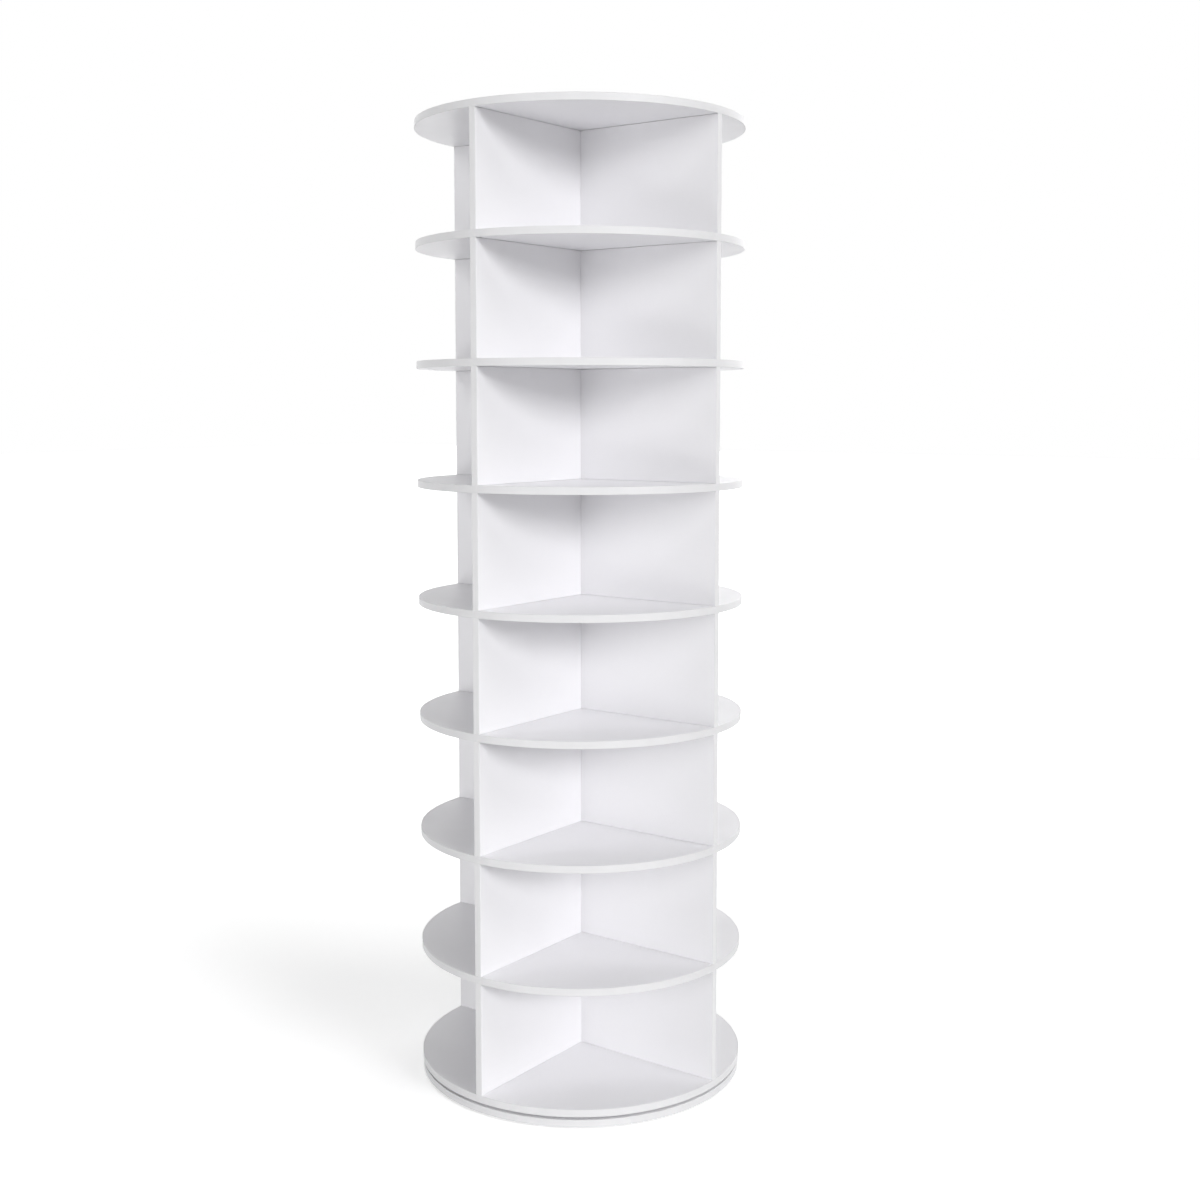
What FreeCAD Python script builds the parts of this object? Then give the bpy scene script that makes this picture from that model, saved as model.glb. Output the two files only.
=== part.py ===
import FreeCAD
import Part

import math
import os

# A rotating shoe tower: eight tiers of round shelves, kept apart by crossed divider
# panels that part every tier into four quarter-round compartments. The whole column
# turns on a thin ball-bearing turntable that lies between the lowest disc and a base
# disc of the same board, which stands on rubber pads.
#
# Frame: +Z up, the origin on the floor under the turning axis. The long panels stand
# in the YZ plane and the half panels in the XZ plane. Lengths are millimetres.
#
# Small hidden parts that repeat many times are drawn with flats instead of round, so
# that the model stays light. A flatted pin lies inside the round one, corner to corner.

# Boards
TIER_COUNT = 8
BOARD_THICKNESS = 12.0
SHELF_DIAMETER = 550.0
COMPARTMENT_HEIGHT = 185.0

# How far the base disc and the ends of the dividers stand back from the shelves' rims
BASE_SETBACK = 1.0
PANEL_SETBACK = 0.5

# The crossing of the dividers
GROOVE_DEPTH = 3.0
GROOVE_PLAY = 0.1

# Dowels between the panels and the shelves, one in each arm of a cross
DOWEL_DIAMETER = 6.0
DOWEL_INSET = 85.0
DOWEL_GRIP = 12.0
TOP_DOWEL_GRIP = 8.0
HOLE_PLAY = 0.1
HOLE_END_GAP = 0.5

# Turntable
RACE_DIAMETER = 156.0
RING_WIDTH = 22.0
RING_GAP = 1.6
RACE_LIP = 0.7
RUNNING_GAP = 0.4
BALL_DIAMETER = 3.0
BALL_PLAY = 0.05
BALL_COUNT = 12
CAGE_THICKNESS = 0.6
POCKET_PLAY = 0.1

# Countersunk screws, which share one head angle of 90 degrees
SCREWS_PER_RING = 4
RING_SCREW_DIAMETER = 4.0
RING_SCREW_HEAD = 7.5
RING_SCREW_GRIP = 8.0
PANEL_SCREW_DIAMETER = 5.0
PANEL_SCREW_HEAD = 9.5
PANEL_SCREW_GRIP = 28.0
HEAD_SINK = 0.2

# Floor pads
PAD_COUNT = 6
PAD_DIAMETER = 32.0
PAD_THICKNESS = 3.0
PAD_INSET = 28.0

# Sides of the parts that are drawn with flats, and where the balls' flats end, in degrees
PIN_SIDES = 6
BALL_SIDES = 6
BALL_LATITUDES = (-67.5, -22.5, 22.5, 67.5)
CAGE_SIDES = 48
PAD_SIDES = 8

# Heights. The sides of a race slope at 45 degrees, so the balls and the gap between the
# rings set how deep a race is, how far it opens and with that the turntable's height.
tier_pitch = COMPARTMENT_HEIGHT + BOARD_THICKNESS
race_depth = (BALL_DIAMETER / 2 + BALL_PLAY) * math.sqrt(2)
race_opening = race_depth - RING_GAP / 2
turntable_height = 2 * (race_opening + RACE_LIP + RUNNING_GAP)
base_top = PAD_THICKNESS + BOARD_THICKNESS
ball_plane = base_top + turntable_height / 2
column_bottom = base_top + turntable_height

# Radii
shelf_radius = SHELF_DIAMETER / 2
base_radius = shelf_radius - BASE_SETBACK
panel_reach = shelf_radius - PANEL_SETBACK
dowel_reach = shelf_radius - DOWEL_INSET
race_radius = RACE_DIAMETER / 2
inner_screw_radius = race_radius - RING_GAP / 2 - RING_WIDTH / 2
outer_screw_radius = race_radius + RING_GAP / 2 + RING_WIDTH / 2

CROSS_ANGLES = (0, 90, 180, 270)


def shelf_bottom(level):
    """Underside of the disc at a level: 0 is the lowest turning disc, TIER_COUNT the top."""
    return column_bottom + level * tier_pitch


def shelf_top(level):
    """Upper face of the disc at a level."""
    return shelf_bottom(level) + BOARD_THICKNESS


def around(radius, angle):
    """The point at a radius and an angle in degrees about the turning axis."""
    turn = math.radians(angle)
    return FreeCAD.Vector(radius * math.cos(turn), radius * math.sin(turn), 0)


def evenly(count, first=0.0):
    """Angles in degrees of a count of places spaced evenly round the axis."""
    return [first + 360.0 * i / count for i in range(count)]


def flatted(profile, sides, place=FreeCAD.Vector()):
    """An upright turned piece drawn with flats, from (radius, height) pairs, bottom up."""
    rings = []
    for radius, height in profile:
        corners = [around(radius, a) + place for a in evenly(sides, 180.0 / sides)]
        rings.append([c + FreeCAD.Vector(0, 0, height) for c in corners])
    outlines = [rings[0][::-1], rings[-1]]
    for low, high in zip(rings, rings[1:]):
        for i in range(sides):
            j = (i + 1) % sides
            outlines.append([low[i], low[j], high[j], high[i]])
    faces = [Part.Face(Part.makePolygon(points + points[:1])) for points in outlines]
    return Part.makeSolid(Part.makeShell(faces))


def pin(diameter, bottom, top, place):
    """A plain upright pin, or the material that a hole for it takes away."""
    return flatted([(diameter / 2, bottom), (diameter / 2, top)], PIN_SIDES, place)


def screw(diameter, head, start, end, place):
    """A countersunk screw with its head's face at start and its tip at end."""
    drop = math.copysign((head - diameter) / 2, end - start)
    profile = [(head / 2, start), (diameter / 2, start + drop), (diameter / 2, end)]
    if end < start:
        profile.reverse()
    return flatted(profile, PIN_SIDES, place)


def screw_hole(diameter, head, face, start, end, place):
    """What a screw takes out of the boards: its own shape with play, open to face."""
    bore = diameter + 2 * HOLE_PLAY
    mouth = head + 2 * HOLE_PLAY
    drop = math.copysign((mouth - bore) / 2, end - start)
    profile = [
        (mouth / 2, face),
        (mouth / 2, start),
        (bore / 2, start + drop),
        (bore / 2, end),
    ]
    if end < start:
        profile.reverse()
    return flatted(profile, PIN_SIDES, place)


def ring(profile):
    """A true ring turned about the axis from a closed (radius, height) outline."""
    points = [FreeCAD.Vector(r, 0, z) for r, z in profile]
    face = Part.Face(Part.makePolygon(points + points[:1]))
    return face.revolve(FreeCAD.Vector(), FreeCAD.Vector(0, 0, 1), 360)


def disc(radius, bottom):
    """A plain round board."""
    return Part.makeCylinder(radius, BOARD_THICKNESS, FreeCAD.Vector(0, 0, bottom))


# --- joinery -------------------------------------------------------------------------


def dowel_ends(level):
    """Lower and upper end of the dowels that hold the disc at a level."""
    low = shelf_bottom(level) - DOWEL_GRIP
    if level == TIER_COUNT:
        return low, shelf_bottom(level) + TOP_DOWEL_GRIP
    return low, shelf_top(level) + DOWEL_GRIP


def dowels():
    """Every dowel: through a shelf into both crosses, or blind into the top disc."""
    pins = []
    for level in range(1, TIER_COUNT + 1):
        low, high = dowel_ends(level)
        for angle in CROSS_ANGLES:
            pins.append(pin(DOWEL_DIAMETER, low, high, around(dowel_reach, angle)))
    return pins


def dowel_hole(level, angle):
    """The hole of one dowel, deeper than the dowel by the end gap."""
    low, high = dowel_ends(level)
    bore = DOWEL_DIAMETER + 2 * HOLE_PLAY
    place = around(dowel_reach, angle)
    return pin(bore, low - HOLE_END_GAP, high + HOLE_END_GAP, place)


def panel_screw_ends():
    """Head face and tip of the screws that come up through the lowest disc."""
    return shelf_bottom(0) + HEAD_SINK, shelf_top(0) + PANEL_SCREW_GRIP


def panel_screws():
    """The screws that hold the lowest cross to the lowest disc, from beneath."""
    start, end = panel_screw_ends()
    return [
        screw(PANEL_SCREW_DIAMETER, PANEL_SCREW_HEAD, start, end, around(dowel_reach, a))
        for a in CROSS_ANGLES
    ]


def panel_screw_hole(angle):
    """The hole of one of those screws, through the disc and into a panel's edge."""
    start, end = panel_screw_ends()
    place = around(dowel_reach, angle)
    return screw_hole(
        PANEL_SCREW_DIAMETER,
        PANEL_SCREW_HEAD,
        shelf_bottom(0),
        start,
        end + HOLE_END_GAP,
        place,
    )


def edge_hole(level, angle):
    """The hole that crosses the joint between a disc and one arm of a cross."""
    if level == 0:
        return panel_screw_hole(angle)
    return dowel_hole(level, angle)


# --- shelves and panels --------------------------------------------------------------


def shelf(level):
    """A turning disc with the holes that hold it to the crosses above and below."""
    board = disc(shelf_radius, shelf_bottom(level))
    holes = [edge_hole(level, angle) for angle in CROSS_ANGLES]
    if level == 0:
        holes += [outer_screw_hole(angle) for angle in outer_screw_angles()]
    return board.cut(Part.makeCompound(holes))


def drilled(panel, tier, angles):
    """A panel of a tier with its holes in the lower and upper edge."""
    holes = [edge_hole(tier - 1, a) for a in angles]
    holes += [edge_hole(tier, a) for a in angles]
    return panel.cut(Part.makeCompound(holes))


def long_panel(tier):
    """The divider that runs right across a tier, with a groove in each face."""
    floor = shelf_top(tier - 1)
    panel = Part.makeBox(
        BOARD_THICKNESS,
        2 * panel_reach,
        COMPARTMENT_HEIGHT,
        FreeCAD.Vector(-BOARD_THICKNESS / 2, -panel_reach, floor),
    )
    groove_width = BOARD_THICKNESS + 2 * GROOVE_PLAY
    web = BOARD_THICKNESS / 2 - GROOVE_DEPTH
    for left_edge in (web, -BOARD_THICKNESS / 2):
        groove = Part.makeBox(
            GROOVE_DEPTH,
            groove_width,
            COMPARTMENT_HEIGHT,
            FreeCAD.Vector(left_edge, -groove_width / 2, floor),
        )
        panel = panel.cut(groove)
    return drilled(panel, tier, (90, 270))


def half_panel(tier, angle):
    """A divider from the long panel's groove to the rim, at 0 or 180 degrees."""
    start = BOARD_THICKNESS / 2 - GROOVE_DEPTH + GROOVE_PLAY
    panel = Part.makeBox(
        panel_reach - start,
        BOARD_THICKNESS,
        COMPARTMENT_HEIGHT,
        FreeCAD.Vector(start, -BOARD_THICKNESS / 2, shelf_top(tier - 1)),
    )
    panel.rotate(FreeCAD.Vector(), FreeCAD.Vector(0, 0, 1), angle)
    return drilled(panel, tier, (angle,))


# --- turntable -----------------------------------------------------------------------


def outer_screw_angles():
    """Angles of the outer ring's screws, which stand between the arms of the cross."""
    return evenly(SCREWS_PER_RING, 180.0 / SCREWS_PER_RING)


def outer_screw_ends():
    """Head face and tip of the screws that hold the outer ring to the lowest disc."""
    return base_top + RUNNING_GAP + HEAD_SINK, column_bottom + RING_SCREW_GRIP


def outer_screws():
    """The screws that go up through the outer ring into the lowest disc."""
    start, end = outer_screw_ends()
    return [
        screw(
            RING_SCREW_DIAMETER,
            RING_SCREW_HEAD,
            start,
            end,
            around(outer_screw_radius, a),
        )
        for a in outer_screw_angles()
    ]


def outer_screw_hole(angle):
    """The hole of one of those screws, through the ring and into the disc."""
    start, end = outer_screw_ends()
    return screw_hole(
        RING_SCREW_DIAMETER,
        RING_SCREW_HEAD,
        start - HEAD_SINK,
        start,
        end + HOLE_END_GAP,
        around(outer_screw_radius, angle),
    )


def inner_screw_ends():
    """Head face and tip of the screws that come up through the base disc."""
    return PAD_THICKNESS + HEAD_SINK, column_bottom - 2 * RUNNING_GAP


def inner_screws():
    """The machine screws that go up through the base disc into the tapped inner ring."""
    start, end = inner_screw_ends()
    return [
        screw(
            RING_SCREW_DIAMETER,
            RING_SCREW_HEAD,
            start,
            end,
            around(inner_screw_radius, a),
        )
        for a in evenly(SCREWS_PER_RING)
    ]


def inner_screw_hole(angle):
    """The hole of one of those screws, through the base disc and the ring."""
    start, end = inner_screw_ends()
    return screw_hole(
        RING_SCREW_DIAMETER,
        RING_SCREW_HEAD,
        PAD_THICKNESS,
        start,
        column_bottom,
        around(inner_screw_radius, angle),
    )


def race_ring(side, bottom, top):
    """A turntable ring with its race: side is -1 for the inner ring and 1 for the outer."""
    face = race_radius + side * RING_GAP / 2
    back = face + side * RING_WIDTH
    apex = race_radius + side * race_depth
    return ring(
        [
            (face, bottom),
            (face, ball_plane - race_opening),
            (apex, ball_plane),
            (face, ball_plane + race_opening),
            (face, top),
            (back, top),
            (back, bottom),
        ]
    )


def inner_ring():
    """The still ring, which lies on the base disc and stays clear of the lowest disc."""
    plate = race_ring(-1, base_top, column_bottom - RUNNING_GAP)
    holes = [inner_screw_hole(a) for a in evenly(SCREWS_PER_RING)]
    return plate.cut(Part.makeCompound(holes))


def outer_ring():
    """The turning ring, which the lowest disc rests on and which clears the base disc."""
    plate = race_ring(1, base_top + RUNNING_GAP, column_bottom)
    holes = [outer_screw_hole(a) for a in outer_screw_angles()]
    return plate.cut(Part.makeCompound(holes))


def balls():
    """The bearing balls, drawn as barrels whose corners lie on the true sphere."""
    profile = []
    for latitude in BALL_LATITUDES:
        turn = math.radians(latitude)
        radius = BALL_DIAMETER / 2 * math.cos(turn)
        profile.append((radius, ball_plane + BALL_DIAMETER / 2 * math.sin(turn)))
    return [flatted(profile, BALL_SIDES, around(race_radius, a)) for a in evenly(BALL_COUNT)]


def cage():
    """The nylon strip between the races, with a square window for each ball."""
    bottom = base_top + RUNNING_GAP
    top = column_bottom - RUNNING_GAP
    near = race_radius - CAGE_THICKNESS / 2
    far = race_radius + CAGE_THICKNESS / 2
    strip = flatted([(far, bottom), (far, top)], CAGE_SIDES)
    strip = strip.cut(flatted([(near, bottom), (near, top)], CAGE_SIDES))
    window = BALL_DIAMETER + 2 * POCKET_PLAY
    windows = []
    for angle in evenly(BALL_COUNT):
        hole = Part.makeBox(
            RING_GAP,
            window,
            window,
            FreeCAD.Vector(race_radius - RING_GAP / 2, -window / 2, ball_plane - window / 2),
        )
        hole.rotate(FreeCAD.Vector(), FreeCAD.Vector(0, 0, 1), angle)
        windows.append(hole)
    return strip.cut(Part.makeCompound(windows))


# --- base ----------------------------------------------------------------------------


def base_disc():
    """The still board that carries the turntable."""
    holes = [inner_screw_hole(a) for a in evenly(SCREWS_PER_RING)]
    return disc(base_radius, PAD_THICKNESS).cut(Part.makeCompound(holes))


def pads():
    """The rubber pads under the base disc."""
    reach = base_radius - PAD_INSET
    profile = [(PAD_DIAMETER / 2, 0), (PAD_DIAMETER / 2, PAD_THICKNESS)]
    return [flatted(profile, PAD_SIDES, around(reach, a)) for a in evenly(PAD_COUNT)]


# --- assembly ------------------------------------------------------------------------


def nodes():
    """Every named sub-part with its solids."""
    parts = {
        "floor_pads": pads(),
        "base_disc": [base_disc()],
        "turntable_inner_ring": [inner_ring()],
        "inner_ring_screws": inner_screws(),
        "ball_cage": [cage()],
        "bearing_balls": balls(),
        "turntable_outer_ring": [outer_ring()],
        "outer_ring_screws": outer_screws(),
        "bottom_disc": [shelf(0)],
        "bottom_panel_screws": panel_screws(),
        "top_disc": [shelf(TIER_COUNT)],
        "shelf_dowels": dowels(),
    }
    for level in range(1, TIER_COUNT):
        parts[f"shelf_{level}"] = [shelf(level)]
    for tier in range(1, TIER_COUNT + 1):
        parts[f"long_panel_{tier}"] = [long_panel(tier)]
        parts[f"right_half_panel_{tier}"] = [half_panel(tier, 0)]
        parts[f"left_half_panel_{tier}"] = [half_panel(tier, 180)]
    return parts


def main():
    """Writes one STEP file for each sub-part."""
    os.makedirs("parts", exist_ok=True)
    for name, solids in nodes().items():
        shape = solids[0] if len(solids) == 1 else Part.makeCompound(solids)
        shape.exportStep(f"parts/{name}.step")


main()
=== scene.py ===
import math

import bpy
from mathutils import Matrix, Vector


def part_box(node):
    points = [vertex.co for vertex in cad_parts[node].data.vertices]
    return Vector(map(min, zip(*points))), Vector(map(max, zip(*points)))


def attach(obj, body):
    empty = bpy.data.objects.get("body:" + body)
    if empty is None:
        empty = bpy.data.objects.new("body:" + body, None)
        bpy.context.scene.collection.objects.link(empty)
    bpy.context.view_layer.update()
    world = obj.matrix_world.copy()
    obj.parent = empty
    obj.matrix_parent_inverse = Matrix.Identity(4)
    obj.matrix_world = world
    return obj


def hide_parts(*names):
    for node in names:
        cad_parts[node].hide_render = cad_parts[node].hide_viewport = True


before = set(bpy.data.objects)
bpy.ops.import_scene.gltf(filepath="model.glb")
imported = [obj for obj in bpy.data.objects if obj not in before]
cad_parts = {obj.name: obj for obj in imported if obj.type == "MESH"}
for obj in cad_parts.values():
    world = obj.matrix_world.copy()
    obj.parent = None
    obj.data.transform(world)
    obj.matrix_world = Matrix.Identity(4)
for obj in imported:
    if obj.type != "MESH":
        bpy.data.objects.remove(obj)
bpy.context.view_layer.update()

# The looks of a rotating shoe tower in white melamine board. Every node of the CAD frame is
# replaced by finer meshes of the same size, with rounded arrises and materials of their own.
# Lengths are metres, in the frame's own axes.

MM = 0.001
scene = bpy.context.scene

# ------------------------------------------------------------------ sizes of the frame

TIER_COUNT = 8
DISCS = {"base_disc": "base", "bottom_disc": "tower", "top_disc": "tower"}
for level in range(1, TIER_COUNT):
    DISCS[f"shelf_{level}"] = "tower"

disc_low, disc_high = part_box("shelf_1")
board_thickness = disc_high.z - disc_low.z
panel_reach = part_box("right_half_panel_1")[1].x
column_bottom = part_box("bottom_disc")[0].z
base_low, base_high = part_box("base_disc")
ball_low, ball_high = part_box("bearing_balls")
ball_plane = (ball_low.z + ball_high.z) / 2

# Sizes that the frame's boxes don't give: boards and their bands
ARRIS = 0.6 * MM
BAND_THICKNESS = 1.0 * MM
SEAM = 0.2 * MM
PANEL_EASE = 0.2 * MM
HEAD_GAP = 0.6 * MM
FOOT_GAP = 0.25 * MM
SHADOW_DEPTH = 2.0 * MM
GROOVE_DEPTH = 3.0 * MM
GROOVE_PLAY = 0.1 * MM
MOUTH_EASE = 0.5 * MM

# Dowels and the holes of dowels and screws
DOWEL_RADIUS = 3.0 * MM
DOWEL_REACH = 190.0 * MM
DOWEL_GRIP = 12.0 * MM
TOP_DOWEL_GRIP = 8.0 * MM
FLUTE_COUNT = 16
FLUTE_DEPTH = 0.35 * MM
DOWEL_CHAMFER = 0.6 * MM
HOLE_PLAY = 0.1 * MM
HOLE_END_GAP = 0.5 * MM
HOLE_OVERRUN = 1.0 * MM

# The turntable
RACE_RADIUS = 78.0 * MM
RACE_HALF_GAP = 0.8 * MM
RACE_LIP = 0.1 * MM
RING_WIDTH = 22.0 * MM
RING_FACE_EASE = 0.2 * MM
RING_BACK_EASE = 0.4 * MM
BALL_RADIUS = 1.5 * MM
BALL_PLAY = 0.05 * MM
BALL_COUNT = 12
POCKET_PLAY = 0.1 * MM
CAGE_THICKNESS = 0.6 * MM
CAGE_EASE = 0.15 * MM
WINDOW_REACH = 2.0 * MM

# Screws. A thread's depth and half width are shares of its pitch, its root a share of that
# depth, the shank a share of the screw's radius, and a cross recess is in shares of the
# head's radius. Angles are degrees.
RING_SCREW_RADIUS = 2.0 * MM
RING_SCREW_HEAD = 3.75 * MM
RING_SCREW_PITCH = 1.2 * MM
RING_SCREW_TIP = 2.5 * MM
MACHINE_SCREW_PITCH = 0.7 * MM
MACHINE_SCREW_TIP = 0.3 * MM
MACHINE_SCREW_END = 1.4 * MM
PANEL_SCREW_RADIUS = 2.5 * MM
PANEL_SCREW_HEAD = 4.75 * MM
PANEL_SCREW_PITCH = 2.2 * MM
PANEL_SCREW_TIP = 5.0 * MM
SHARP_POINT = 0.1 * MM
HEAD_BRIM = 0.3 * MM
BRIM_EASE = 0.1 * MM
SHANK_SHARE = 0.9
THREAD_DEPTH = 0.44
THREAD_ROOT = 1.2
THREAD_HALF_WIDTH = 0.35
THREAD_START = 5
RECESS_ARM = 0.56
RECESS_HALF_WIDTH = 0.13
RECESS_DEPTH = 0.5
RECESS_ANGLES = (20, 110)

# Pads, with the radii of the hollow in the middle and of the ring groove under them
PAD_COUNT = 6
PAD_RADIUS = 16.0 * MM
PAD_INSET = 28.0 * MM
PAD_TAPER = 0.6 * MM
PAD_RIM_EASE = 0.7 * MM
PAD_EASE = 0.3 * MM
PAD_HOLLOW_DEPTH = 0.4 * MM
PAD_HOLLOW_FLOOR = 4.0 * MM
PAD_HOLLOW_MOUTH = 5.0 * MM
PAD_GROOVE_MOUTH = (9.0 * MM, 11.2 * MM)
PAD_GROOVE_FLOOR = (9.6 * MM, 10.6 * MM)
PAD_GROOVE_DEPTH = 0.6 * MM

inner_screw_reach = RACE_RADIUS - RACE_HALF_GAP - RING_WIDTH / 2
outer_screw_reach = RACE_RADIUS + RACE_HALF_GAP + RING_WIDTH / 2

CROSS = (0, 90, 180, 270)
BETWEEN = (45, 135, 225, 315)

# How finely curves are drawn, and the angle in degrees up to which they are shaded smooth
DISC_SEGMENTS = 288
RING_SEGMENTS = 192
PAD_SEGMENTS = 64
BALL_SEGMENTS = 32
HOLE_SEGMENTS = 24
THREAD_STEPS = 23
ARC_STEPS = 4
SMALL_ARC_STEPS = 3
SMOOTH_UP_TO = 32


# ------------------------------------------------------------------ materials


def add(tree, kind, **settings):
    """A shader node with its inputs (Capital names) and options (small names) set."""
    node = tree.nodes.new("ShaderNode" + kind)
    for name, value in settings.items():
        if name[0].isupper():
            node.inputs[name.replace("_", " ")].default_value = value
        else:
            setattr(node, name, value)
    return node


def place(tree, scale):
    """The piece's own coordinates in metres, stretched along X, Y and Z."""
    coordinates = add(tree, "TexCoord")
    mapping = add(tree, "Mapping", Scale=scale)
    tree.links.new(coordinates.outputs["Object"], mapping.inputs["Vector"])
    return mapping.outputs["Vector"]


def noise(tree, vector, scale, detail=2.0, roughness=0.5):
    """Noise about 0.5 in a vector's space."""
    texture = add(tree, "TexNoise", Scale=scale, Detail=detail, Roughness=roughness)
    tree.links.new(vector, texture.inputs["Vector"])
    return texture.outputs["Fac"]


def spread(tree, value, low, high, start=0.3, stop=0.7):
    """A value between start and stop brought to a range."""
    mapped = add(tree, "MapRange", From_Min=start, From_Max=stop, To_Min=low, To_Max=high)
    tree.links.new(value, mapped.inputs["Value"])
    return mapped.outputs["Result"]


def joined(tree, one, other, operation="ADD"):
    """Two values joined by a sum or product."""
    node = add(tree, "Math", operation=operation)
    tree.links.new(one, node.inputs[0])
    tree.links.new(other, node.inputs[1])
    return node.outputs["Value"]


def tinted(tree, value, dark, light):
    """A colour between two others."""
    mix = add(tree, "Mix", data_type="RGBA")
    mix.inputs["A"].default_value = (*dark, 1)
    mix.inputs["B"].default_value = (*light, 1)
    tree.links.new(value, mix.inputs["Factor"])
    return mix.outputs["Result"]


def bumped(tree, height, distance):
    """A surface raised by a height of 0 to 1 times a distance."""
    bump = add(tree, "Bump", Distance=distance, Strength=1.0)
    tree.links.new(height, bump.inputs["Height"])
    return bump.outputs["Normal"]


def finish_with(tree, shader, colour, roughness, normal):
    """Links what varies over a surface to its shader."""
    tree.links.new(colour, shader.inputs["Base Color"])
    tree.links.new(roughness, shader.inputs["Roughness"])
    tree.links.new(normal, shader.inputs["Normal"])


def new_material(name, **constants):
    """A material with its Principled shader's constants set."""
    material = bpy.data.materials.new(name)
    material.use_nodes = True
    tree = material.node_tree
    shader = tree.nodes["Principled BSDF"]
    for key, value in constants.items():
        shader.inputs[key.replace("_", " ")].default_value = value
    return material, tree, shader


def melamine():
    """White melamine face: a soft pearl grain with slow changes of gloss."""
    material, tree, shader = new_material("white_melamine", IOR=1.5)
    space = place(tree, (1, 1, 1))
    cloud = noise(tree, space, scale=7.0, detail=3.0)
    speck = noise(tree, space, scale=900.0)
    colour = tinted(
        tree,
        spread(tree, joined(tree, cloud, speck), 0.0, 1.0, start=0.75, stop=1.25),
        dark=(0.862, 0.857, 0.877),
        light=(0.878, 0.873, 0.893),
    )
    sheen = spread(tree, noise(tree, space, scale=24.0, detail=3.0), low=0.34, high=0.44)
    gloss = joined(tree, sheen, spread(tree, speck, low=-0.03, high=0.03))
    pearl = noise(tree, space, scale=620.0, roughness=0.4)
    grain = joined(tree, pearl, noise(tree, space, scale=2600.0, detail=1.0))
    finish_with(tree, shader, colour, gloss, bumped(tree, grain, distance=0.012 * MM))
    return material


def edge_band(name, stretch, dark, light):
    """Satin plastic edge band between two tones, with fine marks along its run."""
    material, tree, shader = new_material(name, IOR=1.5)
    space = place(tree, (1, 1, 1))
    streaks = noise(tree, place(tree, stretch), scale=1.0, detail=3.0)
    cloud = noise(tree, space, scale=40.0)
    colour = tinted(tree, spread(tree, cloud, 0.0, 1.0), dark, light)
    marks = joined(tree, streaks, cloud)
    gloss = spread(tree, marks, low=0.50, high=0.60, start=0.75, stop=1.25)
    grain = joined(tree, streaks, noise(tree, space, scale=1400.0, detail=1.0))
    finish_with(tree, shader, colour, gloss, bumped(tree, grain, distance=0.008 * MM))
    return material


def turned_aluminium():
    """Aluminium with the fine rings that a lathe leaves."""
    material, tree, shader = new_material("turned_aluminium", Metallic=1.0, Anisotropic=0.4)
    space = place(tree, (1, 1, 1))
    rings = add(
        tree,
        "TexWave",
        wave_type="RINGS",
        rings_direction="Z",
        Scale=420.0,
        Distortion=0.6,
        Detail=2.0,
    )
    tree.links.new(space, rings.inputs["Vector"])
    marks = rings.outputs["Fac"]
    cloud = noise(tree, space, scale=60.0, detail=3.0)
    colour = tinted(
        tree,
        spread(tree, cloud, 0.0, 1.0),
        dark=(0.66, 0.67, 0.69),
        light=(0.76, 0.765, 0.78),
    )
    gloss = spread(tree, joined(tree, marks, cloud), low=0.24, high=0.40, start=0.4, stop=1.4)
    finish_with(tree, shader, colour, gloss, bumped(tree, marks, distance=0.01 * MM))
    return material


def zinc():
    """Bright zinc plating with a faint blue-yellow cast in patches."""
    material, tree, shader = new_material("zinc_plate", Metallic=1.0)
    space = place(tree, (1, 1, 1))
    patches = noise(tree, space, scale=260.0, detail=3.0)
    fine = noise(tree, space, scale=2600.0)
    colour = tinted(
        tree,
        spread(tree, patches, 0.0, 1.0),
        dark=(0.60, 0.63, 0.68),
        light=(0.74, 0.73, 0.69),
    )
    gloss = spread(tree, fine, low=0.20, high=0.36)
    finish_with(tree, shader, colour, gloss, bumped(tree, fine, distance=0.01 * MM))
    return material


def bearing_steel():
    """Polished ball steel with faint running marks."""
    material, tree, shader = new_material("bearing_steel", Metallic=1.0)
    haze = noise(tree, place(tree, (1, 1, 1)), scale=900.0)
    colour = tinted(
        tree,
        spread(tree, haze, 0.0, 1.0),
        dark=(0.70, 0.71, 0.73),
        light=(0.78, 0.79, 0.80),
    )
    gloss = spread(tree, haze, low=0.05, high=0.13)
    finish_with(tree, shader, colour, gloss, bumped(tree, haze, distance=0.002 * MM))
    return material


def nylon():
    """Natural nylon, waxy and a little warm."""
    material, tree, shader = new_material("natural_nylon", IOR=1.53)
    space = place(tree, (1, 1, 1))
    cloud = noise(tree, space, scale=120.0, detail=3.0)
    fine = noise(tree, space, scale=1800.0)
    colour = tinted(
        tree,
        spread(tree, cloud, 0.0, 1.0),
        dark=(0.70, 0.68, 0.61),
        light=(0.78, 0.76, 0.70),
    )
    gloss = spread(tree, fine, low=0.42, high=0.56)
    finish_with(tree, shader, colour, gloss, bumped(tree, fine, distance=0.015 * MM))
    return material


def beech():
    """Beech with grain along the dowel and short dark flecks."""
    material, tree, shader = new_material("bare_beech", IOR=1.45)
    grain = noise(tree, place(tree, (1, 1, 0.05)), scale=900.0, detail=4.0)
    flecks = noise(tree, place(tree, (1, 1, 0.25)), scale=1500.0, detail=1.0)
    colour = tinted(
        tree,
        spread(tree, joined(tree, grain, flecks), 0.0, 1.0, start=0.7, stop=1.3),
        dark=(0.50, 0.31, 0.16),
        light=(0.68, 0.48, 0.29),
    )
    gloss = spread(tree, grain, low=0.55, high=0.75)
    finish_with(tree, shader, colour, gloss, bumped(tree, grain, distance=0.05 * MM))
    return material


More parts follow.
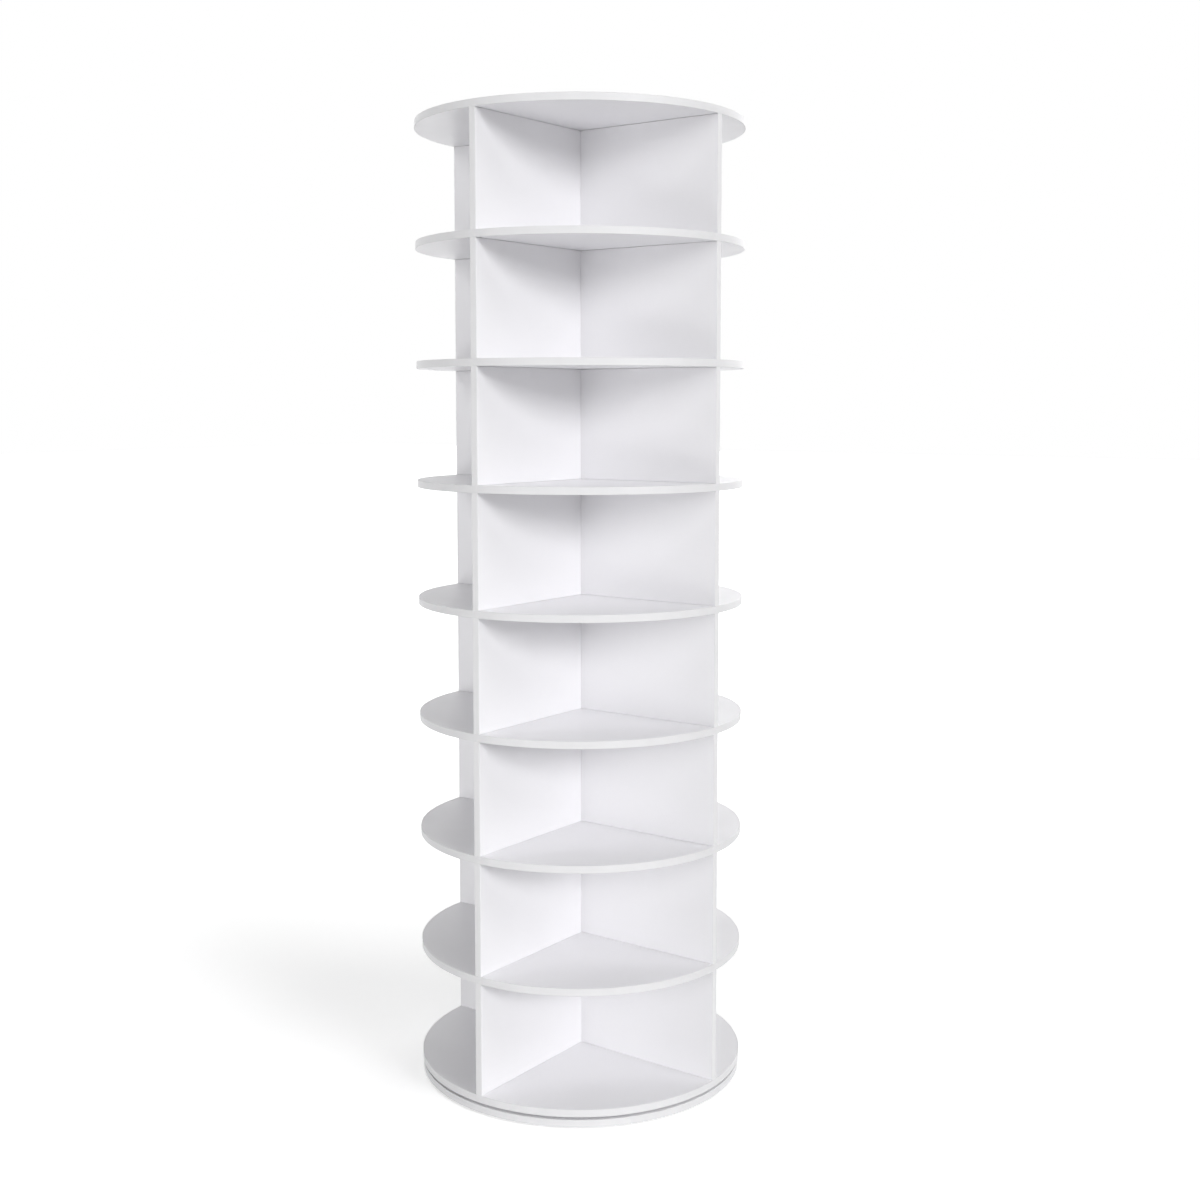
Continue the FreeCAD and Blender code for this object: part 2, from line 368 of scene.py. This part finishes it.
def rubber():
    """Dark rubber with a dusty, pebbled face."""
    material, tree, shader = new_material("pad_rubber", IOR=1.5)
    space = place(tree, (1, 1, 1))
    dust = noise(tree, space, scale=90.0, detail=4.0)
    pebble = noise(tree, space, scale=1500.0)
    colour = tinted(
        tree,
        spread(tree, dust, 0.0, 1.0),
        dark=(0.022, 0.022, 0.023),
        light=(0.045, 0.044, 0.043),
    )
    gloss = spread(tree, pebble, low=0.62, high=0.82)
    finish_with(tree, shader, colour, gloss, bumped(tree, pebble, distance=0.04 * MM))
    return material


WHITE = melamine()
# The bands are darker than the board: partly the plastic's own shade, partly painted shade that stands
# in for less light on the exposed rims and arm ends. The rim band is darker again, by painted shade.
RIM_BAND_WITH_PAINTED_SHADE = edge_band(
    "rim_band_with_painted_shade",
    stretch=(25, 25, 2600),
    dark=(0.745, 0.743, 0.754),
    light=(0.761, 0.759, 0.770),
)
# The end band's colour is partly its own shade and partly painted shade on the arm ends.
END_BAND_WITH_PAINTED_SHADE = edge_band(
    "end_band",
    stretch=(2600, 2600, 25),
    dark=(0.779, 0.777, 0.788),
    light=(0.795, 0.793, 0.804),
)
ALUMINIUM = turned_aluminium()
ZINC = zinc()
STEEL = bearing_steel()
NYLON = nylon()
BEECH = beech()
RUBBER = rubber()


# ------------------------------------------------------------------ mesh tools


def spun(radius, angle, height=0.0):
    """The point at a radius, an angle in degrees and a height about the turning axis."""
    turn = math.radians(angle)
    return Vector((radius * math.cos(turn), radius * math.sin(turn), height))


def rounded(corners, steps=ARC_STEPS):
    """A closed outline from (x, y, radius) corners, each rounded by an arc."""
    points = []
    for i, (x, y, radius) in enumerate(corners):
        here = Vector((x, y))
        if not radius:
            points.append(here)
            continue
        back = (Vector(corners[i - 1][:2]) - here).normalized()
        ahead = (Vector(corners[(i + 1) % len(corners)][:2]) - here).normalized()
        half = back.angle(ahead) / 2
        centre = here + (back + ahead).normalized() * radius / math.sin(half)
        first = here + back * radius / math.tan(half) - centre
        sweep = first.angle_signed(here + ahead * radius / math.tan(half) - centre)
        for k in range(steps + 1):
            points.append(centre + Matrix.Rotation(-sweep * k / steps, 2) @ first)
    return points


def inset(outline, distance):
    """A closed outline drawn in by a distance, for one that runs anticlockwise."""
    drawn = []
    count = len(outline)
    for i, here in enumerate(outline):
        into = (here - outline[i - 1]).normalized()
        out = (outline[(i + 1) % count] - here).normalized()
        side = Vector((-into.y, into.x)) + Vector((-out.y, out.x))
        side.normalize()
        lean = side.dot(Vector((-into.y, into.x)))
        drawn.append(here + side * distance / lean)
    return drawn


def turned(outline, segments, centre=Vector()):
    """Vertices and faces of a closed (radius, height) outline turned about an upright axis."""
    verts = []
    rows = []
    for radius, height in outline:
        count = segments if radius else 1
        rows.append([len(verts) + k % count for k in range(segments)])
        verts += [centre + spun(radius, 360 * k / segments, height) for k in range(count)]
    faces = []
    for i, low in enumerate(rows):
        high = rows[(i + 1) % len(rows)]
        for k in range(segments):
            j = (k + 1) % segments
            corners = list(dict.fromkeys((low[k], low[j], high[j], high[k])))
            if len(corners) > 2:
                faces.append(corners)
    return verts, faces


def stacked(loops):
    """Vertices and faces between closed anticlockwise loops, each of (x, y) points and a height."""
    count = len(loops[0][0])
    verts = [(p.x, p.y, height) for points, height in loops for p in points]
    faces = [tuple(reversed(range(count)))]
    faces.append(tuple(range(len(verts) - count, len(verts))))
    for n in range(len(loops) - 1):
        for k in range(count):
            j = (k + 1) % count
            low, high = n * count, (n + 1) * count
            faces.append((low + k, low + j, high + j, high + k))
    return verts, faces


def stood_up(outline, bottom, top, ease=0.0):
    """Vertices and faces of an anticlockwise (x, y) outline stood up, with eased ends."""
    if not ease:
        return stacked([(outline, bottom), (outline, top)])
    drawn_in = inset(outline, ease)
    return stacked([
        (drawn_in, bottom), (outline, bottom + ease), (outline, top - ease), (drawn_in, top),
    ])


def gathered(forms):
    """Several forms as one list of vertices and one of faces."""
    verts = []
    faces = []
    for form_verts, form_faces in forms:
        start = len(verts)
        verts += form_verts
        faces += [tuple(start + v for v in face) for face in form_faces]
    return verts, faces


def turned_about(form, angle):
    """A form turned about the tower's axis."""
    turn = Matrix.Rotation(math.radians(angle), 3, "Z")
    return [turn @ Vector(v) for v in form[0]], form[1]


def new_object(name, form, material):
    """An object in the scene from vertices, faces and a material."""
    mesh = bpy.data.meshes.new(name)
    mesh.from_pydata(form[0], [], form[1])
    mesh.materials.append(material)
    piece = bpy.data.objects.new(name, mesh)
    scene.collection.objects.link(piece)
    return piece


def combined(piece, form, operation):
    """Changes a piece by the exact union with, or difference from, a form."""
    tool = new_object("tool", form, piece.data.materials[0])
    change = piece.modifiers.new("change", "BOOLEAN")
    change.operation = operation
    change.solver = "EXACT"
    change.object = tool
    graph = bpy.context.evaluated_depsgraph_get()
    mesh = bpy.data.meshes.new_from_object(piece.evaluated_get(graph))
    piece.modifiers.clear()
    old = piece.data
    piece.data = mesh
    bpy.data.meshes.remove(old)
    bpy.data.meshes.remove(tool.data)


def cut(piece, form):
    """Takes a form's space out of a piece."""
    combined(piece, form, "DIFFERENCE")


def weld(piece, form):
    """Joins a form to a piece."""
    combined(piece, form, "UNION")


def taken(piece):
    """A piece's vertices and faces; the piece itself goes."""
    verts = [v.co.copy() for v in piece.data.vertices]
    faces = [tuple(f.vertices) for f in piece.data.polygons]
    bpy.data.meshes.remove(piece.data)
    return verts, faces


def moved(form, shift):
    """A form moved by a vector."""
    return [Vector(v) + shift for v in form[0]], form[1]


def smooth(piece):
    """Smooth shading up to an angle, with flats that stay flat beside their arrises."""
    for face in piece.data.polygons:
        face.use_smooth = True
    piece.data.set_sharp_from_angle(angle=math.radians(SMOOTH_UP_TO))
    weighted = piece.modifiers.new("flats", "WEIGHTED_NORMAL")
    weighted.keep_sharp = True


def seat(piece, body, slot, *nodes):
    """Shades a piece, joins it to its body and lets it stand for its nodes."""
    smooth(piece)
    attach(piece, body)
    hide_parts(*nodes)
    return piece


# ------------------------------------------------------------------ boards


def dowel_cutters(levels, angles):
    """The dowel holes at some levels and in some arms of the cross."""
    forms = []
    for level in levels:
        low, high = dowel_ends(level)
        radius = DOWEL_RADIUS + HOLE_PLAY
        outline = [(0, low - HOLE_END_GAP), (radius, low - HOLE_END_GAP),
                   (radius, high + HOLE_END_GAP), (0, high + HOLE_END_GAP)]
        for angle in angles:
            forms.append(turned(outline, HOLE_SEGMENTS, spun(DOWEL_REACH, angle)))
    return forms


def disc_name(level):
    """The CAD node of the disc at a level."""
    if level == 0:
        return "bottom_disc"
    return "top_disc" if level == TIER_COUNT else f"shelf_{level}"


def dowel_ends(level):
    """Lower and upper end of the dowels through the disc at a level."""
    low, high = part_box(disc_name(level))
    if level == TIER_COUNT:
        return low.z - DOWEL_GRIP, low.z + TOP_DOWEL_GRIP
    return low.z - DOWEL_GRIP, high.z + DOWEL_GRIP


def screw_cutter(radius, head, mouth, start, end, centre):
    """A countersunk hole that opens at mouth, below, and ends at end, above."""
    bore = radius + HOLE_PLAY
    wide = head + HOLE_PLAY
    outline = [(0, mouth), (wide, mouth), (wide, start), (bore, start + wide - bore),
               (bore, end), (0, end)]
    return turned(outline, HOLE_SEGMENTS, centre)


def panel_screw_cutters(angles):
    """The holes of the screws that come up through the bottom disc."""
    low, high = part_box("bottom_panel_screws")
    return [
        screw_cutter(PANEL_SCREW_RADIUS, PANEL_SCREW_HEAD, column_bottom - HOLE_OVERRUN, low.z,
                     high.z + HOLE_END_GAP, spun(DOWEL_REACH, angle))
        for angle in angles
    ]


def outer_screw_cutters():
    """The holes of the screws that hold the outer ring to the bottom disc."""
    low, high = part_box("outer_ring_screws")
    return [
        screw_cutter(RING_SCREW_RADIUS, RING_SCREW_HEAD, base_high.z, low.z,
                     high.z + HOLE_END_GAP, spun(outer_screw_reach, angle))
        for angle in BETWEEN
    ]


def inner_screw_cutters():
    """The holes of the screws that hold the inner ring to the base disc."""
    low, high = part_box("inner_ring_screws")
    return [
        screw_cutter(RING_SCREW_RADIUS, RING_SCREW_HEAD, base_low.z - HOLE_OVERRUN, low.z,
                     column_bottom + HOLE_OVERRUN, spun(inner_screw_reach, angle))
        for angle in CROSS
    ]


def disc(node, body, holes):
    """A round board: a melamine core and the plastic band round its rim."""
    low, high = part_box(node)
    rim = min(-low.x, -low.y, high.x, high.y)
    core = rim - BAND_THICKNESS
    board_outline = [(0, low.z), (core - SEAM, low.z), (core, low.z + SEAM),
                     (core, high.z - SEAM), (core - SEAM, high.z), (0, high.z)]
    board = new_object(node + "_board", turned(board_outline, DISC_SEGMENTS), WHITE)
    if holes:
        cut(board, gathered(holes))
    seat(board, body, "shelf_board", node)
    band_outline = rounded([
        (core, low.z + SEAM, 0), (core + SEAM, low.z, 0), (rim, low.z, ARRIS),
        (rim, high.z, ARRIS), (core + SEAM, high.z, 0), (core, high.z - SEAM, 0),
    ])
    band = new_object(node + "_band", turned(band_outline, DISC_SEGMENTS), RIM_BAND_WITH_PAINTED_SHADE)
    seat(band, body, "shelf_board", node)


def discs():
    """Every round board with its holes."""
    for node, body in DISCS.items():
        if node == "base_disc":
            holes = inner_screw_cutters()
        elif node == "bottom_disc":
            holes = panel_screw_cutters(CROSS) + outer_screw_cutters()
        elif node == "top_disc":
            holes = dowel_cutters([TIER_COUNT], CROSS)
        else:
            holes = dowel_cutters([int(node.split("_")[1])], CROSS)
        disc(node, body, holes)


def panel_holes(tier, angles):
    """The holes in the lower and upper edge of a tier's panels."""
    below = panel_screw_cutters(angles) if tier == 1 else dowel_cutters([tier - 1], angles)
    return gathered(below + dowel_cutters([tier], angles))


def end_band(name, node, angle, low, high):
    """The band on the outer end of a panel's arm."""
    half = board_thickness / 2
    core = panel_reach - BAND_THICKNESS
    outline = rounded([
        (core, -half + SEAM, 0), (core + SEAM, -half, 0), (panel_reach, -half, ARRIS),
        (panel_reach, half, ARRIS), (core + SEAM, half, 0), (core, half - SEAM, 0),
    ])
    form = turned_about(stood_up(outline, low, high, PANEL_EASE), angle)
    seat(new_object(name, form, END_BAND_WITH_PAINTED_SHADE), "tower", "divider_board", node)


def panel_core(outline, bottom, top):
    """A panel's board, with fine shadow gaps round its foot and its head, where it meets the shelves.

    outline gives the panel's outline drawn in by a distance.
    """
    foot = bottom + FOOT_GAP
    head = top - HEAD_GAP
    return stacked([
        (outline(SHADOW_DEPTH), bottom), (outline(SHADOW_DEPTH), foot),
        (outline(PANEL_EASE), foot), (outline(0), foot + PANEL_EASE),
        (outline(0), head - PANEL_EASE), (outline(PANEL_EASE), head),
        (outline(SHADOW_DEPTH), head), (outline(SHADOW_DEPTH), top),
    ])


def long_outline(drawn_in):
    """The outline of a long panel, with the mouths of its grooves eased."""
    half = board_thickness / 2 - drawn_in
    reach = panel_reach - BAND_THICKNESS - drawn_in
    web = half - GROOVE_DEPTH
    edge = board_thickness / 2 + GROOVE_PLAY + drawn_in
    right = [
        (half - SEAM, -reach), (half, -reach + SEAM), (half, -edge - MOUTH_EASE),
        (half - MOUTH_EASE, -edge), (web, -edge), (web, edge), (half - MOUTH_EASE, edge),
        (half, edge + MOUTH_EASE), (half, reach - SEAM), (half - SEAM, reach),
    ]
    return [Vector(p) for p in right] + [-Vector(p) for p in right]


def half_outline(drawn_in):
    """The outline of a half panel that reaches from the long panel's groove along +X."""
    half = board_thickness / 2 - drawn_in
    reach = panel_reach - BAND_THICKNESS - drawn_in
    start = board_thickness / 2 - GROOVE_DEPTH + GROOVE_PLAY + drawn_in
    return [Vector(p) for p in (
        (start, half - SEAM), (start, -half + SEAM), (start + SEAM, -half), (reach - SEAM, -half),
        (reach, -half + SEAM), (reach, half - SEAM), (reach - SEAM, half), (start + SEAM, half),
    )]


def long_panel(tier):
    """The divider right across a tier, with a groove in each face."""
    node = f"long_panel_{tier}"
    low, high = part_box(node)
    board = new_object(node + "_board", panel_core(long_outline, low.z, high.z), WHITE)
    cut(board, panel_holes(tier, (90, 270)))
    seat(board, "tower", "divider_board", node)
    end_band(node + "_front_band", node, 270, low.z, high.z)
    end_band(node + "_back_band", node, 90, low.z, high.z)


def half_panel(tier, side, angle):
    """A divider from the long panel's groove to the rim."""
    node = f"{side}_half_panel_{tier}"
    low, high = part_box(node)
    form = turned_about(panel_core(half_outline, low.z, high.z), angle)
    board = new_object(node + "_board", form, WHITE)
    cut(board, panel_holes(tier, (angle,)))
    seat(board, "tower", "divider_board", node)
    end_band(node + "_band", node, angle, low.z, high.z)


# ------------------------------------------------------------------ dowels and screws


def dowels():
    """Fluted beech dowels with chamfered ends."""
    outline = []
    for k in range(FLUTE_COUNT * 2):
        radius = DOWEL_RADIUS if k % 2 else DOWEL_RADIUS - FLUTE_DEPTH
        outline.append(spun(radius, 180 * k / FLUTE_COUNT).to_2d())
    forms = []
    for level in range(1, TIER_COUNT + 1):
        low, high = dowel_ends(level)
        for angle in CROSS:
            centre = spun(DOWEL_REACH, angle).to_2d()
            shifted = [centre + p for p in outline]
            forms.append(stood_up(shifted, low, high, DOWEL_CHAMFER))
    piece = new_object("fluted_dowels", gathered(forms), BEECH)
    seat(piece, "tower", "dowel_beech", "shelf_dowels")


def thread(radius, pitch, start, end):
    """A ridge wound round a screw's shank, fading out at both ends.

    The angle where it starts and its steps keep its corners off those of the shank.
    """
    depth = THREAD_DEPTH * pitch
    root = radius - THREAD_ROOT * depth
    count = int((end - start) / pitch * THREAD_STEPS)
    verts = []
    faces = []
    for k in range(count + 1):
        angle = 360 * k / THREAD_STEPS + THREAD_START
        height = start + pitch * k / THREAD_STEPS
        fade = min(1.0, (count - k) / THREAD_STEPS, k / THREAD_STEPS)
        crest = radius - depth * (1 - fade)
        for reach, shift in ((root, -THREAD_HALF_WIDTH), (crest, 0), (root, THREAD_HALF_WIDTH)):
            verts.append(spun(reach, angle, height + shift * pitch))
        if k:
            a, b = 3 * (k - 1), 3 * k
            faces += [(a, b, b + 1, a + 1), (a + 1, b + 1, b + 2, a + 2), (a + 2, b + 2, b, a)]
    last = len(verts)
    faces += [(0, 1, 2), (last - 1, last - 2, last - 3)]
    return verts, faces


def screw_form(length, radius, head, pitch, tip, point):
    """A countersunk cross-head screw up from its head at the origin, with a tip and its radius."""
    shank = SHANK_SHARE * radius
    root = radius - THREAD_DEPTH * pitch
    neck = HEAD_BRIM + head - shank
    outline = rounded([
        (0, 0, 0), (head, 0, BRIM_EASE), (head, HEAD_BRIM, 0),
        (shank, neck, 0), (shank, neck + pitch, 0), (root, neck + 1.5 * pitch, 0),
        (root, length - tip, 0), (point, length, 0), (0, length, 0),
    ])
    piece = new_object("pattern", turned(outline, HOLE_SEGMENTS), ZINC)
    weld(piece, thread(radius, pitch, neck + 2 * pitch, length - tip - pitch / 2))
    arm = RECESS_ARM * head
    half = RECESS_HALF_WIDTH * head
    bar = [Vector(p) for p in ((-arm, -half), (arm, -half), (arm, half), (-arm, half))]
    for angle in RECESS_ANGLES:
        cut(piece, turned_about(stood_up(bar, -HOLE_OVERRUN, RECESS_DEPTH * head), angle))
    return taken(piece)


def screw_group(name, node, body, spots, *sizes):
    """A node's screws, one at each (reach, angle) spot."""
    low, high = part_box(node)
    form = screw_form(high.z - low.z, *sizes)
    forms = [moved(form, spun(reach, angle, low.z)) for reach, angle in spots]
    seat(new_object(name, gathered(forms), ZINC), body, "zinc_screw", node)


def screws():
    """All three groups of screws, each with its radius, head, pitch, tip and tip radius."""
    screw_group("machine_screws", "inner_ring_screws", "base",
                [(inner_screw_reach, angle) for angle in CROSS],
                RING_SCREW_RADIUS, RING_SCREW_HEAD,
                MACHINE_SCREW_PITCH, MACHINE_SCREW_TIP, MACHINE_SCREW_END)
    screw_group("ring_wood_screws", "outer_ring_screws", "tower",
                [(outer_screw_reach, angle) for angle in BETWEEN],
                RING_SCREW_RADIUS, RING_SCREW_HEAD,
                RING_SCREW_PITCH, RING_SCREW_TIP, SHARP_POINT)
    screw_group("panel_wood_screws", "bottom_panel_screws", "tower",
                [(DOWEL_REACH, angle) for angle in CROSS],
                PANEL_SCREW_RADIUS, PANEL_SCREW_HEAD,
                PANEL_SCREW_PITCH, PANEL_SCREW_TIP, SHARP_POINT)


# ------------------------------------------------------------------ turntable


def race_ring(name, node, body, side, holes):
    """An aluminium ring with its race, inner for side -1 and outer for side 1."""
    low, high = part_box(node)
    depth = (BALL_RADIUS + BALL_PLAY) * math.sqrt(2)
    face = RACE_RADIUS + side * RACE_HALF_GAP
    back = face + side * RING_WIDTH
    apex = RACE_RADIUS + side * depth
    opening = depth - RACE_HALF_GAP
    outline = rounded([
        (face, low.z, RING_FACE_EASE), (face, ball_plane - opening, RACE_LIP), (apex, ball_plane, 0),
        (face, ball_plane + opening, RACE_LIP), (face, high.z, RING_FACE_EASE),
        (back, high.z, RING_BACK_EASE), (back, low.z, RING_BACK_EASE),
    ], SMALL_ARC_STEPS)
    if side > 0:
        outline.reverse()
    ring = new_object(name, turned(outline, RING_SEGMENTS), ALUMINIUM)
    cut(ring, gathered(holes))
    seat(ring, body, "ring_aluminium", node)


def balls():
    """The bearing balls."""
    steps = BALL_SEGMENTS // 2
    arc = [spun(BALL_RADIUS, -90 + 180 * k / steps) for k in range(1, steps)]
    outline = [(0, ball_plane - BALL_RADIUS), *[(p.x, ball_plane + p.y) for p in arc],
               (0, ball_plane + BALL_RADIUS)]
    forms = []
    for k in range(BALL_COUNT):
        forms.append(turned(outline, BALL_SEGMENTS, spun(RACE_RADIUS, 360 * k / BALL_COUNT)))
    piece = new_object("steel_balls", gathered(forms), STEEL)
    seat(piece, "ball_cage", "bearing_steel", "bearing_balls")


def cage():
    """The nylon strip with a window for each ball."""
    low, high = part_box("ball_cage")
    near = RACE_RADIUS - CAGE_THICKNESS / 2
    far = RACE_RADIUS + CAGE_THICKNESS / 2
    outline = rounded([
        (near, low.z, CAGE_EASE), (far, low.z, CAGE_EASE),
        (far, high.z, CAGE_EASE), (near, high.z, CAGE_EASE),
    ], SMALL_ARC_STEPS)
    strip = new_object("nylon_cage", turned(outline, RING_SEGMENTS), NYLON)
    half = BALL_RADIUS + POCKET_PLAY
    window = [Vector(p) for p in (
        (-WINDOW_REACH, -half), (WINDOW_REACH, -half), (WINDOW_REACH, half), (-WINDOW_REACH, half),
    )]
    forms = []
    for k in range(BALL_COUNT):
        form = stood_up(window, ball_plane - half, ball_plane + half)
        forms.append(turned_about(moved(form, spun(RACE_RADIUS, 0)), 360 * k / BALL_COUNT))
    cut(strip, gathered(forms))
    seat(strip, "ball_cage", "cage_nylon", "ball_cage")


# ------------------------------------------------------------------ pads


def pads():
    """Round rubber pads, each with a hollow and a ring groove underneath."""
    low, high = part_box("floor_pads")
    reach = base_high.x - PAD_INSET
    hollow = low.z + PAD_HOLLOW_DEPTH
    groove = low.z + PAD_GROOVE_DEPTH
    outline = rounded([
        (0, hollow, 0), (PAD_HOLLOW_FLOOR, hollow, 0), (PAD_HOLLOW_MOUTH, low.z, PAD_EASE),
        (PAD_GROOVE_MOUTH[0], low.z, PAD_EASE), (PAD_GROOVE_FLOOR[0], groove, 0),
        (PAD_GROOVE_FLOOR[1], groove, 0), (PAD_GROOVE_MOUTH[1], low.z, PAD_EASE),
        (PAD_RADIUS, low.z, PAD_RIM_EASE), (PAD_RADIUS - PAD_TAPER, high.z, 0), (0, high.z, 0),
    ], SMALL_ARC_STEPS)
    forms = [turned(outline, PAD_SEGMENTS, spun(reach, 360 * k / PAD_COUNT)) for k in range(PAD_COUNT)]
    seat(new_object("rubber_pads", gathered(forms), RUBBER), "base", "pad_rubber", "floor_pads")


discs()
for tier in range(1, TIER_COUNT + 1):
    long_panel(tier)
    half_panel(tier, "right", 0)
    half_panel(tier, "left", 180)
dowels()
screws()
race_ring("inner_race_ring", "turntable_inner_ring", "base", -1, inner_screw_cutters())
race_ring("outer_race_ring", "turntable_outer_ring", "tower", 1, outer_screw_cutters())
balls()
cage()
pads()


# ------------------------------------------------------------------ camera

# Camera distance and height, found from the photograph's edges; its image is 1200 pixels
# wide, and the optical axis meets it above the middle.
IMAGE_WIDTH = 1200
FOCAL_PIXELS = 1566.3
AXIS_ROW = 541.5
SENSOR = 36.0
CAMERA_DISTANCE = 2.6615
CAMERA_HEIGHT = 1.1440
CAMERA_AZIMUTH = math.radians(36.98)
CAMERA_PITCH = 0.0878
CAMERA_YAW = 0.0125


def camera():
    """The camera at the photograph's viewpoint."""
    data = bpy.data.cameras.new("camera")
    data.sensor_width = SENSOR
    data.lens = FOCAL_PIXELS / IMAGE_WIDTH * SENSOR
    data.shift_y = (AXIS_ROW - IMAGE_WIDTH / 2) / IMAGE_WIDTH
    eye = bpy.data.objects.new("camera", data)
    scene.collection.objects.link(eye)
    turn = Matrix.Rotation(CAMERA_AZIMUTH, 3, "Z")
    ahead = turn @ Vector((
        math.sin(CAMERA_YAW) * math.cos(CAMERA_PITCH),
        math.cos(CAMERA_YAW) * math.cos(CAMERA_PITCH),
        -math.sin(CAMERA_PITCH),
    ))
    right = turn @ Vector((math.cos(CAMERA_YAW), -math.sin(CAMERA_YAW), 0))
    up = right.cross(ahead)
    facing = Matrix((right, up, -ahead)).transposed().to_4x4()
    eye.matrix_world = Matrix.Translation(turn @ Vector((0, -CAMERA_DISTANCE, CAMERA_HEIGHT))) @ facing
    scene.camera = eye


# ------------------------------------------------------------------ studio

# Wide suns, so that every tier gets the same light. Each has its azimuth from the camera, its
# elevation and its width in degrees, and its strength: at 1 a surface that faces it renders
# as its colour is written.
SUNS = (
    ("key", 40, 16, 17, 0.487),
    ("high_right", 60, 38, 25, 0.23),
    ("front", 5, 30, 20, 0.045),
    ("low_left", -36, 14, 20, 0.215),
    ("high_left", -50, 38, 25, 0.065),
    ("left_side", -95, 17, 25, 0.085),
    ("back_left", -150, 12, 45, 0.15),
    ("back_right", 144, 12, 45, 0.35),
    ("high_back", 170, 17, 25, 0.055),
    ("top", 0, 85, 30, 0.10),
)

# A low lamp at the left that reaches the undersides: where it stands, its size and radiance
FILL_AZIMUTH = -45
FILL_DISTANCE = 3.2
FILL_HEIGHT = 0.3
FILL_AIM = 1.1
FILL_SIZE = (1.6, 0.5)
FILL_RADIANCE = 5.1

# The floor's own light for the camera, near the tower, and where it starts and ends growing to 1
FLOOR_REACH = 30.0
NEAR_LIFT = 0.5
LIFT_GROWS = (0.6, 3.0)


def away_from_axis(azimuth, elevation=0):
    """The direction to a lamp. Azimuth 0 is the camera's side and 90 its right."""
    turn = CAMERA_AZIMUTH + math.radians(azimuth)
    rise = math.radians(elevation)
    level = Vector((math.sin(turn), -math.cos(turn), 0))
    return level * math.cos(rise) + Vector((0, 0, math.sin(rise)))


def lamp(name, kind, towards, place=Vector()):
    """A lamp that shines against a direction, with its data."""
    data = bpy.data.lights.new(name, kind)
    light = bpy.data.objects.new(name, data)
    scene.collection.objects.link(light)
    light.location = place
    light.rotation_mode = "QUATERNION"
    light.rotation_quaternion = towards.to_track_quat("Z", "Y")
    return data


def lamps():
    """The wide suns and the low fill."""
    for name, azimuth, elevation, width, strength in SUNS:
        sun = lamp(name, "SUN", away_from_axis(azimuth, elevation))
        sun.angle = math.radians(width)
        sun.energy = math.pi * strength
    place = away_from_axis(FILL_AZIMUTH) * FILL_DISTANCE + Vector((0, 0, FILL_HEIGHT))
    fill = lamp("fill", "AREA", place - Vector((0, 0, FILL_AIM)), place)
    fill.shape = "RECTANGLE"
    fill.size, fill.size_y = FILL_SIZE
    fill.energy = FILL_RADIANCE * fill.size * fill.size_y * math.pi


def studio():
    """A white background and a pale floor that keeps the tower's shadow."""
    world = bpy.data.worlds.new("studio")
    scene.world = world
    world.use_nodes = True
    tree = world.node_tree
    tree.nodes.clear()
    background = add(tree, "Background", Color=(1, 1, 1, 1))
    output = add(tree, "OutputWorld")
    tree.links.new(light_path(tree), background.inputs["Strength"])
    tree.links.new(background.outputs[0], output.inputs["Surface"])

    corners = [(-FLOOR_REACH, -FLOOR_REACH, 0), (FLOOR_REACH, -FLOOR_REACH, 0),
               (FLOOR_REACH, FLOOR_REACH, 0), (-FLOOR_REACH, FLOOR_REACH, 0)]
    ground = new_object("floor", (corners, [(0, 1, 2, 3)]), pale_floor())


def light_path(tree):
    """1 for rays that see the background: the camera's, and those off gloss or through glass."""
    path = add(tree, "LightPath")
    total = joined(tree, path.outputs["Is Camera Ray"], path.outputs["Is Glossy Ray"])
    total = joined(tree, total, path.outputs["Is Transmission Ray"])
    total.node.use_clamp = True
    return total


def pale_floor():
    """A white floor with the tower's shadow, lifted for the camera, and more so further off."""
    material, tree, shader = new_material("pale_floor", Specular_IOR_Level=0.0, Roughness=1.0)
    space = place(tree, (1, 1, 1))
    speck = noise(tree, space, scale=300.0)
    colour = tinted(
        tree,
        spread(tree, speck, 0.0, 1.0),
        dark=(0.83, 0.83, 0.83),
        light=(0.87, 0.87, 0.87),
    )
    tree.links.new(colour, shader.inputs["Base Color"])
    distance = add(tree, "VectorMath", operation="LENGTH")
    tree.links.new(space, distance.inputs[0])
    lift = spread(tree, distance.outputs["Value"], NEAR_LIFT, 1.0, *LIFT_GROWS)
    glow = add(tree, "Emission", Color=(1, 1, 1, 1))
    tree.links.new(joined(tree, light_path(tree), lift, "MULTIPLY"), glow.inputs["Strength"])
    total = add(tree, "AddShader")
    tree.links.new(shader.outputs[0], total.inputs[0])
    tree.links.new(glow.outputs[0], total.inputs[1])
    tree.links.new(total.outputs[0], tree.nodes["Material Output"].inputs["Surface"])
    return material


camera()
lamps()
studio()

scene.view_settings.view_transform = "Standard"
